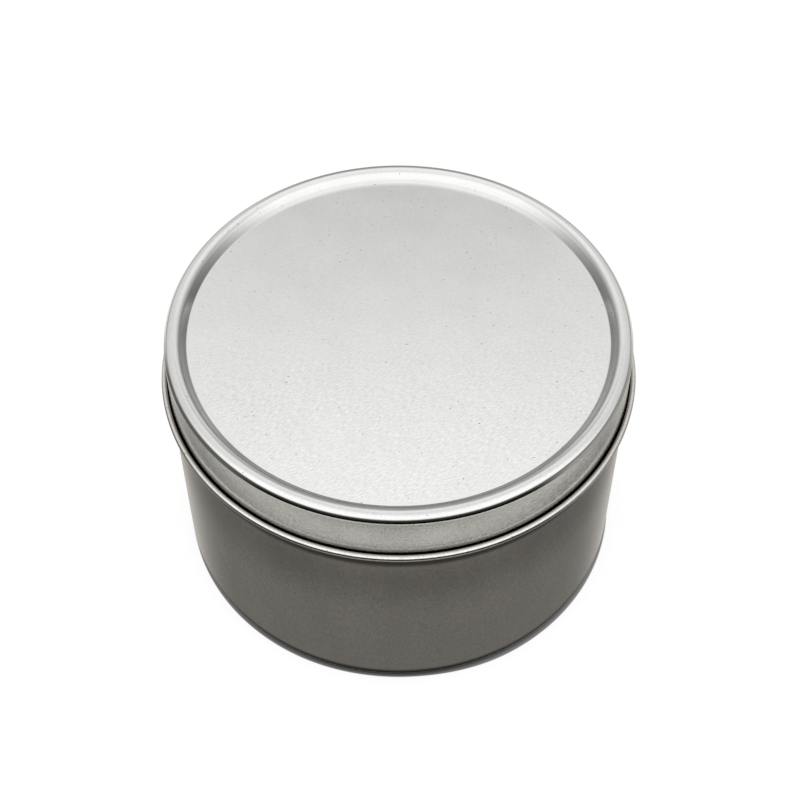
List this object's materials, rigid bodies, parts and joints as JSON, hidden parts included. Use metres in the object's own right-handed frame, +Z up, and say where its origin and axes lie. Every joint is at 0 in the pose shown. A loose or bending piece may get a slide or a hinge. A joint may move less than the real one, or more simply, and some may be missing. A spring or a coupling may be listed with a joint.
{
  "type": "candle tin",
  "caption": "Round drawn candle tin with a slip lid: a straight cup with a stop bead and inset neck, closed by a recessed cap that lifts straight off.",
  "frame": {"origin": "on the tin's axis, at the plane of the ring it stands on", "axes": "+Z up along the tin's axis, the way the lid lifts off; X and Y are arbitrary, as the tin is round"},
  "size_m": [0.0824, 0.0824, 0.0505],
  "materials": {
    "body_tinplate": "satin",
    "lid_tinplate": "satin"
  },
  "bodies": {
    "tin_body": {"tin_body": "body_tinplate"},
    "lid": {"lid": "lid_tinplate"}
  },
  "joints": [
    {"name": "lid_lift", "type": "slide", "parent": "tin_body", "child": "lid", "axis": [0, 0, 1], "range_m": [0, 0.06]}
  ]
}
